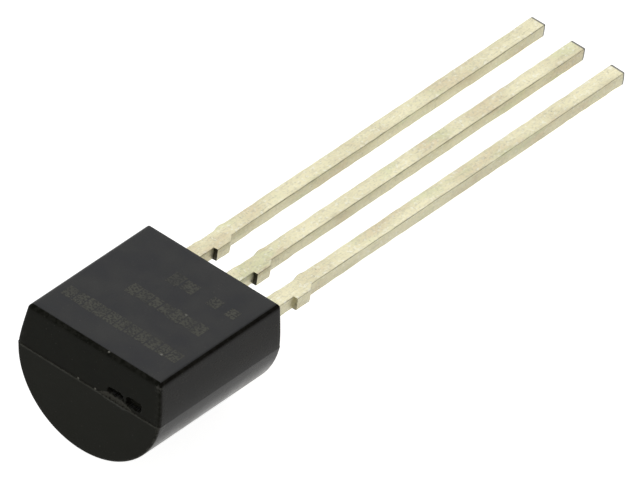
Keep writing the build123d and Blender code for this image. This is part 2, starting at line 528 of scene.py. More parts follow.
@dataclass(frozen=True)
class EpoxyFinish:
    """Black filled epoxy, as it comes from the mould: matte grain, faint flow blotches, a pale scar, and chafed edges
    that also carry a painted highlight.
    """

    name: str = "epoxy_flat"
    deep: Colour = (0.0100, 0.0104, 0.0098)
    pale: Colour = (0.0170, 0.0180, 0.0225)
    # tone towards the bottom; on the sides and the back this paler, warmer tone is a painted reflection of the table
    low: Colour = (0.0170, 0.0180, 0.0225)
    filler: Colour = (0.050, 0.049, 0.040)
    # pale tone of chafed edges, which also paints a highlight along the rounded edges and a glint at one corner
    worn: Colour = (0.190, 0.185, 0.160)
    broken: Colour = (0.100, 0.098, 0.082)
    roughness: float = 0.50
    specular: float = 0.45
    low_tone_and_reflection_span: Span = (-1.6, -0.3)
    low_tone_and_reflection_patches: tuple[Span, Span] = ((0.2, 0.5), (0.7, 1.0))
    blotch: Grain = Grain(0.75, 3.0, (0.35, 0.68))
    blotch_sheen: tuple[Span, Span] = ((0.3, 0.7), (-0.03, 0.05))
    fleck: Grain = Grain(0.055, 1.0, (0.72, 0.78), 0.8)
    chafe: Grain = Grain(0.12, 3.0, (0.38, 0.64), 0.65)
    chafe_sheen: float = 0.10
    torn: Grain = Grain(0.06, 3.0, (0.26, 0.52))
    torn_sheen: float = 0.25
    torn_relief: Grain = Grain(0.035, 4.0, depth=0.02)
    grain: Grain = Grain(0.045, 4.0, depth=0.0022)
    fine_grain: Grain = Grain(0.015, 2.0, depth=0.0022 / 3)

    @classmethod
    def family(cls) -> tuple["EpoxyFinish", ...]:
        """Vary the finish over the body: the mould left its faces with different gloss, the sides and the back carry a
        painted reflection of the table, paler and warmer towards the bottom, and the ends a darker tint that is painted
        shade.

        Returns:
            The finishes of the flat, of the sides and the back, and of the ends.
        """
        flat = cls()
        # the sides' warm, pale low tone is a painted reflection of the table seen at a glancing angle
        side = replace(flat, name="epoxy_side", deep=(0.0080, 0.0070, 0.0045), pale=(0.0130, 0.0115, 0.0078),
                       roughness=0.24, specular=0.10, low=(0.060, 0.051, 0.018))
        # the ends' darker tint is painted shade: a shaded copy of the flat's epoxy
        end = replace(flat, name="epoxy_end", deep=(0.0080, 0.0085, 0.0050), pale=(0.0125, 0.0130, 0.0085),
                      roughness=0.42, specular=0.05, low=(0.0175, 0.0180, 0.0125), low_tone_and_reflection_span=(-0.20, -0.18))
        return flat, side, end

    def make(self, lay: LayFrame) -> bpy.types.Material:
        """Lay out the nodes.

        Args:
            lay: the sensor's axes.

        Returns:
            The material.
        """
        sheet = NodeSheet(self.name, lay)
        rub, scar = (sheet.mask(region) for region in Region)
        tint = sheet.mottle(self.deep, self.blotch, self.pale)
        # paler towards the bottom, where the low tone is set: on the sides and the back a painted reflection of the
        # table
        below = sheet.window(sheet.part(sheet.place, 2), self.low_tone_and_reflection_span, (1.0, 0.0))
        tint = sheet.blend(sheet.product(below, sheet.change(self.blotch, *self.low_tone_and_reflection_patches)), tint, self.low)
        tint = Dust().fall(sheet, sheet.mottle(tint, self.fleck, self.filler))
        # pale chafed edges: wear, and a painted highlight along the rounded edges
        tint = sheet.mottle(tint, self.chafe, self.worn, rub)
        tint = sheet.mottle(tint, self.torn, self.broken, scar)
        roughness = sheet.sum(self.roughness, sheet.change(self.blotch, *self.blotch_sheen),
                              sheet.product(rub, sheet.patches(self.chafe), self.chafe_sheen),
                              sheet.product(scar, self.torn_sheen))
        ragged = sheet.product(scar, sheet.noise(self.torn_relief))
        relief = sheet.bump(ragged, self.torn_relief.depth, sheet.relief(self.grain, self.fine_grain))
        return sheet.surface(Base_Color=tint, Roughness=roughness, Normal=relief, Specular_IOR_Level=self.specular)


@dataclass(frozen=True)
class TinFinish:
    """Solder-dipped tin on a stamped strip: warm and bright, with lengthwise streaks, faint patches and dark pits, and
    painted shade at the rolled tip.
    """

    name: str = "tinned_strip"
    shade: float = 1.0
    roughness: float = 0.44
    bright: Colour = (0.86, 0.81, 0.57)
    rosy: Colour = (0.86, 0.77, 0.54)
    green: Colour = (0.79, 0.78, 0.52)
    fresh: Colour = (0.95, 0.94, 0.82)
    grey: Colour = (0.58, 0.56, 0.44)
    dark: Colour = (0.26, 0.24, 0.17)
    # dark tone at the rolled tip: painted shade, standing for the dark reflection on that edge
    tip: Colour = (0.22, 0.22, 0.20)
    tip_shade_span: Span = (14.07, 14.12)
    warm_patch: Grain = Grain(0.60, 2.0, (0.50, 0.68), stretch=(1.0, 0.35, 1.0))
    warm_sheen: tuple[Span, Span] = ((0.35, 0.65), (-0.04, 0.06))
    green_patch: Grain = Grain(0.42, 2.0, (0.52, 0.70), stretch=(0.8, 0.3, 1.3))
    speckle: Grain = Grain(0.05, 2.0, (0.45, 0.75), 0.50, (1.0, 0.6, 1.0))
    streak: Grain = Grain(0.032, 3.0, (0.56, 0.74), 0.26, (1.0, 0.032 / 0.6, 1.0), 0.003)
    scratch: Grain = Grain(0.0128, 2.0, stretch=(1.0, 0.032 / 0.6, 1.0), depth=0.0010)
    scratch_sheen: tuple[Span, Span] = ((0.3, 0.7), (-0.04, 0.05))
    fleck: Grain = Grain(0.075, 2.0, (0.56, 0.70), 0.65, (1.0, 0.8, 1.0))
    nick: Grain = Grain(0.035, 2.0, (0.66, 0.74), 0.40, (0.25, 1.0, 0.25))
    pit: Grain = Grain(0.06, 2.0, (0.70, 0.76), 0.55, (1.0, 0.5, 1.0))
    pit_sheen: float = 0.15
    dimple: Grain = Grain(0.10, 3.0, depth=0.003)

    @classmethod
    def family(cls) -> tuple["TinFinish", ...]:
        """Make lit and shaded copies of the tin round a lead: the sides and the dark cropped end are darker copies,
        painted shade, and the pale cropped end a lighter copy, painted light.

        Returns:
            The finishes of its flat faces, of its sheared sides, and of dark and pale cropped ends.
        """
        flat = cls()
        # darker copy for the sides: painted shade
        side = replace(flat, name="tinned_side", shade=0.70, roughness=0.50)
        # copies for the cropped ends that face the body: the dark one is painted shade, the pale one painted light
        crop = replace(flat, name="tinned_crop", shade=0.16, roughness=0.55)
        return flat, side, crop, replace(crop, name="tinned_crop_pale", shade=0.80)

    def make(self, lay: LayFrame) -> bpy.types.Material:
        """Lay out the nodes.

        Args:
            lay: the sensor's axes.

        Returns:
            The material.
        """
        sheet = NodeSheet(self.name, lay)
        tint = self.bright
        for grain, colour in ((self.warm_patch, self.rosy), (self.green_patch, self.green), (self.speckle, self.grey),
                              (self.streak, self.dark), (self.fleck, self.fresh), (self.nick, self.dark),
                              (self.pit, self.dark)):
            tint = sheet.mottle(tint, grain, colour)
        # painted shade over the rolled tip
        tint = sheet.blend(sheet.window(sheet.part(sheet.place, 1), self.tip_shade_span), tint, self.tip)
        shaded = sheet.add("ShaderNodeVectorMath", {0: tint, "Scale": self.shade}, operation="SCALE").outputs[0]
        roughness = sheet.sum(self.roughness, sheet.change(self.warm_patch, *self.warm_sheen),
                              sheet.product(sheet.patches(self.pit), self.pit_sheen),
                              sheet.change(self.scratch, *self.scratch_sheen))
        relief = sheet.relief(self.streak, self.scratch, self.dimple)
        return sheet.surface(Base_Color=shaded, Metallic=1.0, Roughness=roughness, Normal=relief)


@dataclass(frozen=True)
class PlainFinish:
    """A sealed inner piece: two tones of one colour in a fine grain."""

    name: str
    tone: Colour
    second: Colour
    metallic: float
    roughness: float
    grain_size: float
    sheen_span: Span = (0.3, 0.7)
    sheen_change: float = 0.12

    def make(self, lay: LayFrame) -> bpy.types.Material:
        """Lay out the nodes.

        Args:
            lay: the sensor's axes.

        Returns:
            The material.
        """
        sheet = NodeSheet(self.name, lay)
        grain = Grain(self.grain_size, 3.0, (0.35, 0.65), depth=self.grain_size / 20)
        sheen = self.roughness, self.roughness + self.sheen_change
        return sheet.surface(Base_Color=sheet.mottle(self.tone, grain, self.second), Metallic=self.metallic,
                             Roughness=sheet.change(grain, self.sheen_span, sheen), Normal=sheet.relief(grain))


@dataclass(frozen=True)
class MarkFinish:
    """A faint, broken, olive-grey trace burnt into the flat."""

    name: str = "laser_trace"
    trace: Colour = (0.080, 0.080, 0.054)
    ground: Colour = (0.0085, 0.0088, 0.0062)
    roughness: float = 0.50
    specular: float = 0.45
    broken: Grain = Grain(0.055, 3.0, (0.40, 0.58))
    wear: Grain = Grain(0.5, 2.0, (0.25, 0.60))
    least: float = 0.35
    grain: Grain = Grain(0.03, 3.0, depth=0.003)

    def make(self, lay: LayFrame) -> bpy.types.Material:
        """Lay out the nodes.

        Args:
            lay: the sensor's axes.

        Returns:
            The material.
        """
        sheet = NodeSheet(self.name, lay)
        worn = sheet.change(self.wear, self.wear.span, (self.least, 1.0))
        tint = Dust().fall(sheet, sheet.mottle(self.ground, self.broken, self.trace, worn))
        return sheet.surface(Base_Color=tint, Roughness=self.roughness, Normal=sheet.relief(self.grain),
                             Specular_IOR_Level=self.specular)


@dataclass(frozen=True)
class Gate:
    """What breaking the gate off left on the closed end: two chips, a torn band under them and a lip below."""

    end: float = -4.63
    parting_z: float = -0.19
    span: Span = (0.20, 1.78)
    chips: tuple[tuple[float, float, float, float], ...] = ((0.56, 1.10, 0.15, 0.34), (1.13, 1.66, 0.11, 0.38))
    bow: float = 0.05
    depth: float = 0.13
    chip_fade: float = 0.12
    chip_rise: Span = (-0.01, 0.02)
    chip_roof: float = 0.09
    wander: Span = (0.03, 0.11)
    rise_wander: Span = (0.035, 0.09)
    floor_wander: Span = (0.25, 0.05)
    torn_height: float = 0.15
    torn_span: Span = (0.22, 1.50)
    torn_fades: Span = (0.40, 0.45)
    torn_wander: Span = (0.3, 0.12)
    torn_edge: float = 0.03
    torn_reach: float = 0.06
    lip_start: float = 0.45
    lip_width: float = 0.85
    lip_height: float = 0.09
    lip_reach: float = 0.033
    lip_fades: Span = (0.12, 0.2)
    lip_wander: Span = (0.3, 0.25)
    lip_scar: float = 0.3
    chip_scar: float = 0.1
    line_width: float = 0.045
    line_reach: float = 1.6
    line_strength: float = 0.75
    line_wander: Span = (0.45, 0.25)
    margin: float = 0.001

    def tear(self, draft: Draft) -> None:
        """Push the closed end's points into the two chips and out into the lip, with broken edges.

        Args:
            draft: the body's mesh.
        """
        for number, (x, y, z) in enumerate(draft.points):
            if y > self.depth + self.end or not self.span[0] < x < self.span[1]:
                continue
            ragged = rough(x, 0.0, z, self.wander[1])
            raised = self.rise_wander[0] * rough(x, 1.0, z, self.rise_wander[1])
            chip = self._chip(x + self.wander[0] * ragged, z + raised)
            lip = self._lip(x, z, ragged)
            if chip > 0 or lip > 0:
                fresh = 1 + self.floor_wander[0] * rough(x, 2.0, z, self.floor_wander[1])
                draft.points[number] = (x, y + self.depth * chip * fresh - self.lip_reach * lip, z)
                below = z < self.parting_z + self.margin
                draft.masks[Region.SCAR][number] = self.lip_scar * lip if below else self.chip_scar
        self._mark_parting(draft)

    def _mark_parting(self, draft: Draft) -> None:
        """Give the parting line on the closed end its pale, uneven edge, and the gate's floor its torn face.

        Args:
            draft: the body's mesh.
        """
        for number, (x, y, z) in enumerate(draft.points):
            away = abs(z - self.parting_z + self.line_width / 2)
            near = smooth_step(self.line_width - away, 0.0, self.line_width)
            if near > 0 and y < self.end + self.depth * self.line_reach:
                strength = self.line_strength + self.line_wander[0] * rough(x, 5.0, 0.0, self.line_wander[1])
                self._scar(draft, number, near * strength)
            if y < self.end + self.torn_reach and z >= self.parting_z:
                self._scar(draft, number, self._torn(x, z))

    @staticmethod
    def _scar(draft: Draft, number: int, strength: float) -> None:
        """Raise a point's scar mask to at least a strength."""
        kept = draft.masks[Region.SCAR].get(number, 0.0)
        draft.masks[Region.SCAR][number] = max(kept, min(1.0, strength))

    def _torn(self, x: float, z: float) -> float:
        """Shape the torn band between the parting line and the chips.

        Args:
            x: the place across the closed end.
            z: its height.

        Returns:
            How pale it is there, from 0 to 1.
        """
        low, high = self.torn_span
        band = self.torn_height * smooth_step(x, low, low + self.torn_fades[0])
        band *= smooth_step(high - x, 0.0, self.torn_fades[1])
        ragged = 1 + self.torn_wander[0] * rough(x, 3.0, z, self.torn_wander[1])
        return smooth_step(band * ragged - (z - self.parting_z), 0.0, self.torn_edge)

    def _chip(self, x: float, z: float) -> float:
        """Shape the two chips.

        Args:
            x: the place across the closed end.
            z: its height.

        Returns:
            How deep they are there, from 0 to 1.
        """
        rise, deepest = z - self.parting_z, 0.0
        for start, end, low, high in self.chips:
            share = (x - start) / (end - start)
            inside = smooth_step(share, 0.0, self.chip_fade) * smooth_step(1 - share, 0.0, self.chip_fade)
            top = high - self.bow * (2 * share - 1) ** 2
            risen = smooth_step(rise, low + self.chip_rise[0], low + self.chip_rise[1])
            deepest = max(deepest, inside * risen * smooth_step(top - rise, 0.0, self.chip_roof))
        return deepest

    def _lip(self, x: float, z: float, ragged: float) -> float:
        """Shape the torn lip below the parting line.

        Args:
            x: the place across the closed end.
            z: its height.
            ragged: how its edge wanders there.

        Returns:
            How far it stands out there, from 0 to 1.
        """
        if z > self.parting_z + self.margin:
            return 0.0
        share = (x - self.lip_start) / self.lip_width
        inside = smooth_step(share, 0.0, self.lip_fades[0]) * smooth_step(1 - share, 0.0, self.lip_fades[1])
        fall = 1 - (self.parting_z - z) / (self.lip_height * (1 + self.lip_wander[0] * ragged))
        return inside * max(0.0, fall) * (1 - self.lip_wander[1] + self.lip_wander[1] * ragged)


@dataclass(frozen=True)
class EdgeWearAndHighlight:
    """How pale the moulding's edges are, as wear and a painted highlight: most at one corner of the flat, where it
    stands for a glint, and a little along the rest.
    """

    # a painted glint on the rounded corner of the flat
    corner: Place = (2.10, -4.61, 0.96)
    corner_reach: float = 0.20
    corner_fade: float = 0.7
    closed_edges: float = 0.15
    closed_reach: float = 0.3
    other_edges: float = 0.06
    uprights: float = 0.14
    upright_reach: float = 0.24
    upright_fade: float = 0.12
    rim_wear_and_highlight_share: float = 0.6

    def at(self, point: Place, on_edge: float, middle_y: float, half_width: float) -> float:
        """Say how much wear and painted highlight a point of the flat side has.

        Args:
            point: its place.
            on_edge: how far round a rounded edge it lies, from 0 to 1 and back.
            middle_y: the middle of the body's length.
            half_width: half the body's width.

        Returns:
            The share from 0 to 1.
        """
        away = math.dist(point, self.corner)
        upright = math.dist((abs(point[0]), abs(point[1] - middle_y)), (half_width, -middle_y))
        edges = self.closed_edges if point[1] < self.closed_reach + 2 * middle_y else self.other_edges
        upright_wear = self.uprights * smooth_step(self.upright_reach - upright, 0.0, self.upright_fade)
        corner_wear = smooth_step(self.corner_reach - away, 0.0, self.corner_reach * self.corner_fade)
        return max(edges * on_edge, upright_wear, corner_wear)


@dataclass
class Moulding:
    """The moulded body: two drafted halves that meet with a step at the parting plane, and the torn gate."""

    lay: LayFrame
    finishes: tuple[EpoxyFinish, ...] = field(default_factory=EpoxyFinish.family)
    gate: Gate = Gate()
    wear: EdgeWearAndHighlight = EdgeWearAndHighlight()
    node: str = "moulded_body"
    length: float = 4.63
    back_radius: float = 2.26
    parting_z: float = -0.19
    flat_height: float = 1.06
    flat_width: float = 4.20
    draft: float = math.radians(1.0)
    step: float = 0.012
    side_step: float = 0.002
    side_ease: float = 0.35
    corner_radius: float = 0.080
    least_radius: float = 0.004
    flat_edge_radius: float = 0.13
    rim_radius: float = 0.070
    sharp_angle: float = math.radians(38)
    flat_facing: float = 0.93
    end_facing: float = 0.3
    gate_step: float = 0.014
    upper_step: float = 0.09
    lower_step: float = 0.05
    side_cuts: int = 44
    lead_end_cuts: int = 60
    corner_cuts: int = 9
    gate_band: float = 0.46
    band_cuts: int = 31
    upper_cuts: int = 9
    edge_cuts: int = 10
    flat_rings: int = 12
    depth_cuts: int = 26
    depth_power: float = 2.2
    rim_cuts: int = 9

    @property
    def half_width(self) -> float:
        """Half the lower half's width at the parting plane."""
        return math.sqrt(self.back_radius**2 - self.parting_z**2)

    def build(self) -> bpy.types.Object:
        """Make the body's mesh and dress it.

        Returns:
            The finished piece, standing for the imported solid.
        """
        draft = Draft()
        lower = self._lower_half(draft)
        draft.ledge(lower, self._upper_half(draft))
        self.gate.tear(draft)
        body = draft.build("body_shell", self.lay, self.sharp_angle)
        for finish in self.finishes:
            body.data.materials.append(finish.make(self.lay))
        for polygon in body.data.polygons:
            polygon.material_index = self._side_of(polygon.normal)
        return claim(body, Slot.MOULDING, self.node)

    def _side_of(self, normal: Vector) -> int:
        """Choose the finish that a face has.

        Args:
            normal: the face's normal.

        Returns:
            The finish's number: one for the flat, one for the sides and the back, one for the two ends.
        """
        if normal.dot(Vector((1, 0, 0)).cross(self.lay.along)) > self.flat_facing:
            return BodyFace.FLAT.value
        on_end = abs(normal.dot(self.lay.along)) > max(self.end_facing, abs(normal.x))
        return (BodyFace.END if on_end else BodyFace.SIDE).value

    def _gate_steps(self, low: float, high: float, coarse: float) -> list[float]:
        """Step across the closed end, in small steps where the gate was.

        Args:
            low: the first place.
            high: the last place.
            coarse: the step away from the gate.

        Returns:
            The places.
        """
        places = [low]
        while places[-1] < high - self.gate_step:
            near = self.gate.span[0] - coarse < places[-1] < self.gate.span[1]
            places.append(min(high, places[-1] + (self.gate_step if near else coarse)))
        return places + [high] if high - places[-1] > SMALL else places

    def _upper_ring(self, z: float, inset: float) -> list[Place]:
        """Draw one level ring of the flat side.

        Args:
            z: its height.
            inset: how far the rounded edge has drawn it in.

        Returns:
            Its points, counter-clockwise from the closed end's left corner.
        """
        rise = (z - self.parting_z) / (self.flat_height - self.parting_z)
        rise -= self.side_ease * (1 - math.exp(-rise / self.side_ease)) * (1 - rise)
        wide = self.half_width - self.side_step
        wide += (self.flat_width / 2 - wide) * rise
        drawn = self.step + (z - self.parting_z) * math.tan(self.draft)
        radius = max(self.least_radius, self.corner_radius - inset)
        x1, y0, y1 = wide - inset, drawn - self.length + inset, -drawn - inset
        full = self.half_width - self.side_step - self.corner_radius
        side = spread(y0 + radius, y1 - radius, self.side_cuts)
        points = [(x / full * (x1 - radius), y0, z) for x in self._gate_steps(-full, full, self.upper_step)]
        points += self._corner(x1 - radius, y0 + radius, z, radius, 3)
        points += [(x1, y, z) for y in side]
        points += self._corner(x1 - radius, y1 - radius, z, radius, 0)
        points += [(x, y1, z) for x in spread(x1 - radius, radius - x1, self.lead_end_cuts)]
        points += self._corner(radius - x1, y1 - radius, z, radius, 1)
        points += [(-x1, y, z) for y in reversed(side)]
        return points + self._corner(radius - x1, y0 + radius, z, radius, 2)

    def _corner(self, x: float, y: float, z: float, radius: float, quarter: int) -> list[Place]:
        """Round a corner of a ring.

        Args:
            x: the place across of the corner's centre.
            y: its place along.
            z: the ring's height.
            radius: the corner's radius.
            quarter: the quarter turn at which it starts.

        Returns:
            The points between its two ends.
        """
        turns = [math.radians(90 * quarter + t) for t in spread(0, 90, self.corner_cuts)[1:-1]]
        return [(x + radius * math.cos(t), y + radius * math.sin(t), z) for t in turns]

    def _upper_half(self, draft: Draft) -> list[int]:
        """Add the flat side.

        Args:
            draft: the mesh that takes it.

        Returns:
            Its lowest ring.
        """
        band_top = self.parting_z + self.gate_band
        straight_top = self.flat_height - self.flat_edge_radius
        heights = spread(self.parting_z, band_top, self.band_cuts)
        levels = [(z, 0.0, 0.0) for z in heights + spread(band_top, straight_top, self.upper_cuts)[1:]]
        for turn in spread(0, math.pi / 2, self.edge_cuts)[1:]:
            drop = self.flat_edge_radius * (1 - math.cos(turn))
            levels.append((straight_top + self.flat_edge_radius * math.sin(turn), drop, math.sin(2 * turn)))
        rings = []
        for z, inset, on_edge in levels:
            points = self._upper_ring(z, inset)
            # wear and painted highlight, most midway round the rounded edge
            chafe_and_highlight_values = [self.wear.at(point, on_edge, -self.length / 2, self.half_width) for point in points]
            rings.append([draft.add(point, rub=rub) for point, rub in zip(points, chafe_and_highlight_values)])
        for low, high in zip(rings, rings[1:]):
            draft.strip(low, high, closed=True)
        self._flat(draft, rings[-1])
        return rings[0]

    def _flat(self, draft: Draft, ring: list[int]) -> None:
        """Close the flat face with shrinking rings round its middle.

        Args:
            draft: the mesh that takes them.
            ring: the flat's outline.
        """
        places = [draft.points[n] for n in ring]
        middle_y = -self.length / 2
        last = ring
        for share in spread(1.0, 0.0, self.flat_rings)[1:-1]:
            shrunk = [draft.add((x * share, middle_y + (y - middle_y) * share, z)) for x, y, z in places]
            draft.strip(last, shrunk, closed=True)
            last = shrunk
        centre = draft.add((0.0, middle_y, self.flat_height))
        for k, number in enumerate(last):
            draft.face(number, last[(k + 1) % len(last)], centre)

    def _lower_half(self, draft: Draft) -> list[int]:
        """Add the round-backed side.

        Args:
            draft: the mesh that takes it.

        Returns:
            Its outline at the parting plane, counter-clockwise from the closed end's left corner.
        """
        inner = self.back_radius - self.rim_radius
        inner_end = math.acos(-self.parting_z / inner)
        reach = inner * math.sin(inner_end)
        columns = [math.asin(x / inner) / inner_end for x in self._gate_steps(-reach, reach, self.lower_step)]
        grid = [self._lower_column(draft, u, inner, inner_end) for u in columns]
        for left, right in zip(grid, grid[1:]):
            for k in range(len(left) - 1):
                draft.face(left[k], left[k + 1], right[k + 1], right[k])
        outline = [column[0] for column in grid] + grid[-1] + [column[-1] for column in reversed(grid)]
        outline += list(reversed(grid[0]))
        return [n for k, n in enumerate(outline) if n != outline[k - 1]]

    def _lower_column(self, draft: Draft, u: float, inner: float, inner_end: float) -> list[int]:
        """Add one line of points from the parting plane down the closed end, along the back and up the lead end.

        Args:
            draft: the mesh that takes them.
            u: the line's place across, from -1 to 1.
            inner: the radius at which the rounded rim starts.
            inner_end: the angle at which that radius meets the parting plane.

        Returns:
            The points' numbers.
        """
        depths = spread(0.0, 1.0, self.depth_cuts, self.depth_power)
        x, deep = inner * math.sin(u * inner_end), -inner * math.cos(u * inner_end)
        down = []
        for share in depths[:1] if abs(abs(u) - 1) < SMALL else depths:
            z = self.parting_z + (deep - self.parting_z) * share
            down.append((x, (self.parting_z - z) * math.tan(self.draft), z, 0.0))
        repeats = len(depths) - len(down)
        rim_in = down[-1][1]
        for turn in spread(0, math.pi / 2, self.rim_cuts)[1:]:
            radius = inner + self.rim_radius * math.sin(turn)
            around = u * math.acos(-self.parting_z / radius)
            in_by = rim_in + self.rim_radius * (1 - math.cos(turn))
            # wear and painted highlight midway round the rim
            rub = self.wear.rim_wear_and_highlight_share * math.sin(2 * turn)
            down.append((radius * math.sin(around), in_by, -radius * math.cos(around), rub))
        side_x, side_in, side_z, _ = down[-1]
        numbers = [draft.add((px, by - self.length, pz), rub=rub) for px, by, pz, rub in down]
        numbers = numbers[:1] * repeats + numbers
        wall = spread(side_in - self.length, -side_in, self.side_cuts)[1:-1]
        numbers += [draft.add((side_x, y, side_z)) for y in wall]
        numbers += [draft.add((px, -by, pz), rub=rub) for px, by, pz, rub in reversed(down)]
        return numbers + numbers[-1:] * repeats


@dataclass
class LeadStrip:
    """One stamped and tinned lead, swept along its run by a node tree, with its cropped tie bar and its inner end."""

    lay: LayFrame
    node: str
    centre_x: float
    inner_end: list[Place]
    seed: int
    crop: LeadFace = LeadFace.SHADED_CROP
    width: float = 0.45
    thickness: float = 0.38
    length: float = 14.18
    edge_radius: float = 0.028
    tip_radius: float = 0.055
    tip_cuts: int = 5
    bar_start: float = 1.31
    stub_length: float = 0.5
    stub_taper: float = 0.26
    stub_reach: float = 0.14
    nick_depth: float = 0.028
    low_stub_length: float = 0.3
    low_stub_reach: float = 0.028
    low_ramp: float = 0.20
    notch_depth: float = 0.09
    notch_y: float = 0.65
    notch_half: float = 0.15
    neck_span: Span = (0.11, 0.44)
    neck_swell: float = 0.02
    ripple: float = 0.020
    ring_step: float = 0.11
    corner_gap: float = 0.002
    facing: float = 0.8
    sharp_angle: float = math.radians(34)

    def build(self, tree: bpy.types.NodeTree, tins: list[bpy.types.Material]) -> bpy.types.Object:
        """Sweep the lead and dress it.

        Args:
            tree: the sweep's node tree.
            tins: the finishes of its flat faces, its sides and its cropped ends, dark and pale.

        Returns:
            The finished piece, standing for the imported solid.
        """
        values = {"Width": self.width, "Thickness": self.thickness, "Edge Radius": self.edge_radius,
                  "Ripple": self.ripple, "Seed": float(self.seed), "Finish": tins[0]}
        mesh = grown_mesh(self._run(), tree, values, self.node + "_bar")
        place = self.lay.matrix() @ Matrix.Translation((self.centre_x, 0, 0))
        lead = finished_object(self.node + "_bar", mesh, place, self.sharp_angle)
        for tin in tins[1:]:
            mesh.materials.append(tin)
        for polygon in mesh.polygons:
            polygon.material_index = self._side_of(polygon.normal)
        return claim(lead, Slot.LEAD, self.node)

    def _side_of(self, normal: Vector) -> int:
        """Choose the finish that a face has.

        Args:
            normal: the face's normal.

        Returns:
            The finish's number: one for the flat faces, one for the sides, the crop's own for what faces the body.
        """
        if normal.dot(self.lay.along) < -self.facing:
            return self.crop.value
        return (LeadFace.SIDE if abs(normal.x) > self.facing else LeadFace.FLAT).value

    def _fade(self, start: float, reach: float) -> float:
        """Where a stub's taper, which starts at a place, meets the lead's straight side."""
        return start + self.stub_taper * reach / (reach + self.edge_radius)

    def _right(self) -> Path:
        """Shape the side with the stub.

        Returns:
            Its growth along the outer run, as (y, growth).
        """
        hold = self.bar_start + self.stub_length
        return [(self.neck_span[0], 0.0), (self.neck_span[1], self.neck_swell), (self.bar_start, self.neck_swell),
                (self.bar_start + self.corner_gap, self.stub_reach), (hold, self.stub_reach),
                (self._fade(hold, self.stub_reach), 0.0)]

    def _left(self) -> Path:
        """Shape the side with the nick and the low stub.

        Returns:
            Its growth along the outer run, as (y, growth).
        """
        hold = self.bar_start + self.stub_length
        low_end = hold + self.low_stub_length
        return [(self.bar_start - self.low_ramp, 0.0), (self.bar_start + self.corner_gap, -self.nick_depth),
                (hold, -self.nick_depth), (hold + self.low_ramp, self.low_stub_reach),
                (low_end, self.low_stub_reach), (self._fade(low_end, self.low_stub_reach), 0.0)]

    def _notch(self) -> Path:
        """The V notch on each side, inside the body."""
        return [(-self.notch_y - self.notch_half, 0.0), (-self.notch_y, -self.notch_depth),
                (-self.notch_y + self.notch_half, 0.0)]

    def _run(self) -> bpy.types.Mesh:
        """Lay out the lead's centre line.

        Returns:
            Its mesh, with how far each side grows and how the tip draws in at each of its points.
        """
        left = [(y, grown) for y, grown, _ in self.inner_end] + self._notch() + self._left()
        right = [(y, grown) for y, _, grown in self.inner_end] + self._notch() + self._right()
        tip = self.length - self.tip_radius
        turns = spread(0, math.pi / 2, self.tip_cuts)
        stations = {y for y, _ in left + right} | {tip + self.tip_radius * math.sin(t) for t in turns}
        start = min(stations)
        count = math.ceil((tip - start) / self.ring_step)
        stations |= {y for y in spread(start, tip, count) if min(abs(y - s) for s in stations) > self.ring_step / 3}
        ys = sorted(stations)
        mesh = bpy.data.meshes.new(self.node + "_run")
        mesh.from_pydata([(0, y, 0) for y in ys], [(k, k + 1) for k in range(len(ys) - 1)], [])
        values = {"left": np.interp(ys, *zip(*left)), "right": np.interp(ys, *zip(*right)),
                  "narrow": [self._narrow(y - tip) for y in ys]}
        for name, numbers in values.items():
            mesh.attributes.new(name, "FLOAT", "POINT").data.foreach_set("value", list(numbers))
        return mesh

    def _narrow(self, past: float) -> float:
        """Roll the tip over.

        Args:
            past: the distance past the start of the rolled tip.

        Returns:
            The section's scale there.
        """
        if past <= 0:
            return 1.0
        drawn = self.tip_radius * (1 - math.sqrt(max(0.0, 1 - (past / self.tip_radius) ** 2)))
        return 1 - 2 * drawn / self.width


@dataclass(frozen=True)
class InnerEnds:
    """The strip's inner ends, sealed in the body: the paddle on the centre lead and the posts on the outer ones."""

    pitch: float = 1.27
    half: float = 0.225
    gap: float = 0.002
    post_near: float = 1.10
    post_far: float = 1.85
    post_span: Span = (-2.60, -1.25)
    paddle_half: float = 0.85
    paddle_span: Span = (-3.45, -1.75)

    def stations(self) -> dict[str, list[Place]]:
        """Shape each lead's inner end.

        Returns:
            Its stations by node name, as (y, growth to the left, growth to the right), from the far end outwards.
        """
        near, far = self.pitch - self.post_near - self.half, self.post_far - self.pitch - self.half
        wide = self.paddle_half - self.half
        grown = {"lead_1": (self.post_span, near, far), "lead_2": (self.paddle_span, wide, wide),
                 "lead_3": (self.post_span, far, near)}
        return {node: [(end, left, right), (start - self.gap, left, right), (start, 0.0, 0.0)]
                for node, ((end, start), left, right) in grown.items()}


@dataclass
class MarkRow:
    """One row of plain, thin bars that lie on the flat."""

    lay: LayFrame
    name: str
    start: Span
    count: int
    pitch: float
    bar: Span
    seed: int
    stand: float = 0.0015
    flat_height: float = 1.06
    sharp_angle: float = math.radians(30)

    def build(self, tree: bpy.types.NodeTree, trace: bpy.types.Material) -> bpy.types.Object:
        """Lay the bars out and dress them.

        Args:
            tree: the row's node tree.
            trace: its finish.

        Returns:
            The finished piece.
        """
        values = {"Count": self.count, "Pitch": self.pitch, "Width": self.bar[0], "Height": self.bar[1],
                  "Thickness": self.stand, "Seed": self.seed, "Finish": trace}
        mesh = grown_mesh(bpy.data.meshes.new(self.name + "_seat"), tree, values, self.name)
        seat = Matrix.Translation((self.start[0], self.start[1], self.flat_height))
        return claim(finished_object(self.name, mesh, self.lay.matrix() @ seat, self.sharp_angle), Slot.MOULDING)


